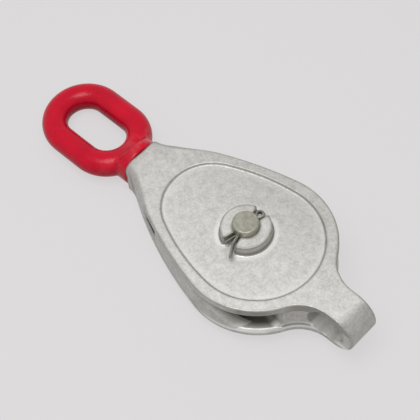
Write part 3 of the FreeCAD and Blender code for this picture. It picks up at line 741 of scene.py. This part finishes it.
class PULLEYBLOCK_OT_shell(bpy.types.Operator):
    """Dress the cast shell in its galvanised skin"""

    bl_idname = "pulley_block.shell"
    bl_label = "Shell casting"

    def execute(self, context):
        bm = bmesh.new()
        bm.from_mesh(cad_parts["shell_casting"].data)
        bmesh.ops.remove_doubles(bm, verts=bm.verts, dist=1e-6)
        shell = softened(piece_from(bm, "cast_shell"))
        sizes = context.scene.pulley_block_sizes
        skin = galvanised("hot_dip_galvanised_casting", sizes, context.scene.pulley_block_colours)
        crown_end = (-sizes.wall_crown, sizes.wall_slant, sizes.wall_round)
        tail_end = (-sizes.wall_tail, sizes.wall_ramp, sizes.wall_scoop)
        rooted_end = (-sizes.stub_end - sizes.stub_length, 0.0, sizes.wall_round)
        stub_end = (-sizes.stub_end, 0.0, sizes.wall_round)
        walls = []
        for side, where in ((-1, "near"), (1, "far")):
            walls.append(flank_wall(sizes, side, "flank_wall_" + where, crown_end, tail_end))
            walls.append(flank_wall(sizes, side, "crown_wall_" + where, rooted_end, stub_end))
        for piece in (shell, *walls):
            settle(piece, "block", "shell_casting", skin)
        return {"FINISHED"}


class PULLEYBLOCK_OT_sheave(bpy.types.Operator):
    """Make the grooved sheave with its bush and side washers"""

    bl_idname = "pulley_block.sheave"
    bl_label = "Sheave, bush and washers"

    def execute(self, context):
        sizes = context.scene.pulley_block_sizes
        colours = context.scene.pulley_block_colours
        rim_r = SHEAVE_HIGH.x
        rim_half = SHEAVE_HIGH.z - MID_Z
        hub_half = BUSH_HIGH.z - MID_Z
        web_half = sizes.web_thickness / 2
        tread_r = rim_r - sizes.groove_depth
        band_r = tread_r - sizes.rim_band
        flare = sizes.groove_flare
        groove_centre = (tread_r + sizes.groove_radius, 0, 0)
        arc = swung((tread_r, 0, 0), groove_centre, AXIS_Y, 90 - math.degrees(flare), 12)
        upper = [(tread_r, 0.0)] + [(p.x, p.z) for p in arc]
        lip = upper[-1][1] + (rim_r - upper[-1][0]) * math.tan(flare)
        upper += [(rim_r, lip), (rim_r, rim_half), (band_r, rim_half), (band_r, web_half)]
        upper += [(sizes.hub_radius, web_half), (sizes.hub_radius, hub_half), (BUSH_HIGH.x, hub_half)]
        lower = [(radius, -height) for radius, height in reversed(upper[1:])]
        wheel = turned("grooved_sheave", [(radius, MID_Z + height) for radius, height in upper + lower], 128)
        softened(bevelled(wheel, width=0.6 * MM))
        skin = galvanised("galvanised_sheave", sizes, colours)
        settle(wheel, "sheave", "sheave", skin)

        bore_r = sizes.axle_radius + sizes.bore_clearance
        bush = plain_ring("bronze_bush", bore_r, BUSH_HIGH.x, BUSH_LOW.z, BUSH_HIGH.z, edge=0.3 * MM)
        bronze = machined("turned_bronze", colours.bronze, ring_mm=0.5, roughness=0.35)
        settle(bush, "sheave", "sheave_bush", bronze)

        plated = machined("plated_washer_steel", colours.plated_steel, ring_mm=0.4, roughness=0.4)
        inner = sizes.axle_radius + sizes.washer_clearance
        for where in ("front", "rear"):
            node = "sheave_washer_" + where
            low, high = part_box(node)
            washer = plain_ring("side_washer_" + where, inner, high.x, low.z, high.z, edge=0.2 * MM)
            settle(washer, where + "_side_washer", node, plated)
        return {"FINISHED"}


class PULLEYBLOCK_OT_axle(bpy.types.Operator):
    """Make the axle pin and its split pin"""

    bl_idname = "pulley_block.axle"
    bl_label = "Axle and split pin"

    def execute(self, context):
        sizes = context.scene.pulley_block_sizes
        colours = context.scene.pulley_block_colours
        head_r, axle_r = AXLE_HIGH.x, sizes.axle_radius
        bottom, top = AXLE_LOW.z, AXLE_HIGH.z
        head_top = bottom + sizes.axle_head
        outline = [
            (0.0, bottom),
            (head_r - sizes.head_chamfer, bottom),
            (head_r, bottom + sizes.head_chamfer),
            (head_r, head_top),
            (axle_r, head_top),
            (axle_r, top - sizes.axle_chamfer),
            (axle_r - sizes.axle_chamfer, top),
            (0.0, top),
        ]
        hole_r = sizes.pin_radius + sizes.cross_gap
        across = Matrix.Translation((0, 0, PIN_Z)) @ Matrix.Rotation(math.radians(90), 4, "X")
        bm = bmesh.new()
        bmesh.ops.create_cone(
            bm, cap_ends=True, segments=32, radius1=hole_r, radius2=hole_r, depth=4 * axle_r, matrix=across
        )
        pin = combined(turned("axle_pin_turned", outline), piece_from(bm, "drill"), "DIFFERENCE")
        softened(bevelled(pin, width=0.2 * MM))
        steel = machined("dulled_axle_steel", colours.axle_steel, ring_mm=0.6, roughness=0.42)
        settle(pin, "block", "axle_pin", steel)

        wire = machined("plated_wire", colours.wire, ring_mm=0.5, roughness=0.5)
        for side, leg, tail in ((-1, sizes.short_leg, 0), (1, sizes.long_leg, sizes.leg_tail)):
            half = softened(bevelled(split_pin_half(sizes, side, leg, tail), width=0.12 * MM))
            settle(half, "block", "axle_split_pin", wire)
        return {"FINISHED"}


class PULLEYBLOCK_OT_eye(bpy.types.Operator):
    """Make the forged swivel eye with its shank and washer"""

    bl_idname = "pulley_block.eye"
    bl_label = "Swivel eye"

    def execute(self, context):
        sizes = context.scene.pulley_block_sizes
        colours = context.scene.pulley_block_colours
        crown_low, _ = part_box("shell_casting")
        collar_x = crown_low.x - sizes.collar_gap
        forging = combined(eye_ring(sizes), eye_collar(sizes, collar_x), "UNION")
        applied(modified(forging, "REMESH", mode="VOXEL", voxel_size=0.55 * MM))
        applied(modified(forging, "SMOOTH", factor=0.5, iterations=10))
        forging.data.shade_smooth()
        settle(forging, "swivel_eye", "swivel_eye", red_enamel(colours))
        shank = softened(eye_shank(sizes, collar_x))
        shank_steel = machined("forged_shank_steel", colours.plated_steel, ring_mm=0.5, roughness=0.5)
        settle(shank, "swivel_eye", "swivel_eye", shank_steel)

        low, high = WASHER_LOW.x, WASHER_HIGH.x
        inner = sizes.shank_radius + sizes.washer_clearance
        washer = plain_ring("swivel_washer_plate", inner, WASHER_HIGH.y, 0.0, high - low, edge=0.25 * MM)
        plated = machined("plated_swivel_washer", colours.plated_steel, ring_mm=0.4, roughness=0.4)
        settle(laid_along_x(washer, low), "swivel_washer", "swivel_washer", plated)
        return {"FINISHED"}


class PULLEYBLOCK_OT_stage(bpy.types.Operator):
    """Lay the floor, hang the lights and set up the camera"""

    bl_idname = "pulley_block.stage"
    bl_label = "Floor, lights and camera"

    def execute(self, context):
        sizes = context.scene.pulley_block_sizes
        colours = context.scene.pulley_block_colours
        bm = bmesh.new()
        bmesh.ops.create_grid(bm, x_segments=1, y_segments=1, size=sizes.floor_size / 2)
        floor = piece_from(bm, "floor")
        floor.data.materials.append(floor_board(colours))
        lean = Matrix.Rotation(LEAN, 4, "Y")
        up = lean @ AXIS_Z
        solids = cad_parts.values()
        lowest = min(up.dot(vert.co) for node in solids for vert in node.data.vertices)
        floor.matrix_world = Matrix.Translation(up * lowest) @ lean

        data = bpy.data.lights.new("overhead_softbox", "AREA")
        data.size = LAMP_SIZE
        data.energy = LAMP_WATTS
        lamp = bpy.data.objects.new("overhead_softbox", data)
        aim = (LAMP_AIM - LAMP_PLACE).to_track_quat("-Z", "Y")
        lamp.matrix_world = Matrix.Translation(LAMP_PLACE) @ aim.to_matrix().to_4x4()
        context.scene.collection.objects.link(lamp)

        world = bpy.data.worlds.new("studio")
        context.scene.world = world
        world.use_nodes = True
        tree = world.node_tree
        tree.nodes.clear()
        way = add(tree, "ShaderNodeTexCoord").outputs["Generated"]
        strength = ramp(tree, split(tree, way)["Z"], start=0.0, full=1.0, least=ROOM_LOW, most=ROOM_HIGH)
        room = add(tree, "ShaderNodeBackground", Color=(1.0, 1.0, 1.0, 1), Strength=strength)
        backdrop = add(tree, "ShaderNodeBackground", Color=(*colours.floor, 1), Strength=1.0)
        shown = add(tree, "ShaderNodeMixShader", Fac=seen_plainly(tree), Shader=room, Shader_001=backdrop)
        add(tree, "ShaderNodeOutputWorld", Surface=shown)

        data = bpy.data.cameras.new("camera")
        data.sensor_width = SENSOR_WIDTH
        data.lens = CAMERA_LENS
        data.clip_start = 0.01
        data.clip_end = 20.0
        camera = bpy.data.objects.new("camera", data)
        turn = Matrix((CAMERA_RIGHT, -CAMERA_DOWN, -CAMERA_AHEAD)).transposed().to_4x4()
        camera.matrix_world = Matrix.Translation(CAMERA_PLACE) @ turn
        context.scene.collection.objects.link(camera)
        context.scene.camera = camera
        context.scene.view_settings.view_transform = "Standard"
        return {"FINISHED"}


STEPS = (
    PULLEYBLOCK_OT_shell,
    PULLEYBLOCK_OT_sheave,
    PULLEYBLOCK_OT_axle,
    PULLEYBLOCK_OT_eye,
    PULLEYBLOCK_OT_stage,
)


class PULLEYBLOCK_PT_panel(bpy.types.Panel):
    """The block's pieces, sizes and colours"""

    bl_label = "Pulley Block"
    bl_idname = "PULLEYBLOCK_PT_panel"
    bl_space_type = "VIEW_3D"
    bl_region_type = "UI"
    bl_category = "Pulley Block"

    def draw(self, context):
        for step in STEPS:
            self.layout.operator(step.bl_idname)
        for group in (context.scene.pulley_block_sizes, context.scene.pulley_block_colours):
            for name in group.__annotations__:
                self.layout.prop(group, name)


CLASSES = (PulleyBlockSizes, PulleyBlockColours, *STEPS, PULLEYBLOCK_PT_panel)


def register():
    for cls in CLASSES:
        bpy.utils.register_class(cls)
    bpy.types.Scene.pulley_block_sizes = bpy.props.PointerProperty(type=PulleyBlockSizes)
    bpy.types.Scene.pulley_block_colours = bpy.props.PointerProperty(type=PulleyBlockColours)


def unregister():
    del bpy.types.Scene.pulley_block_sizes
    del bpy.types.Scene.pulley_block_colours
    for cls in reversed(CLASSES):
        bpy.utils.unregister_class(cls)


def main():
    register()
    bpy.ops.pulley_block.shell()
    bpy.ops.pulley_block.sheave()
    bpy.ops.pulley_block.axle()
    bpy.ops.pulley_block.eye()
    bpy.ops.pulley_block.stage()


if __name__ == "__main__":
    main()
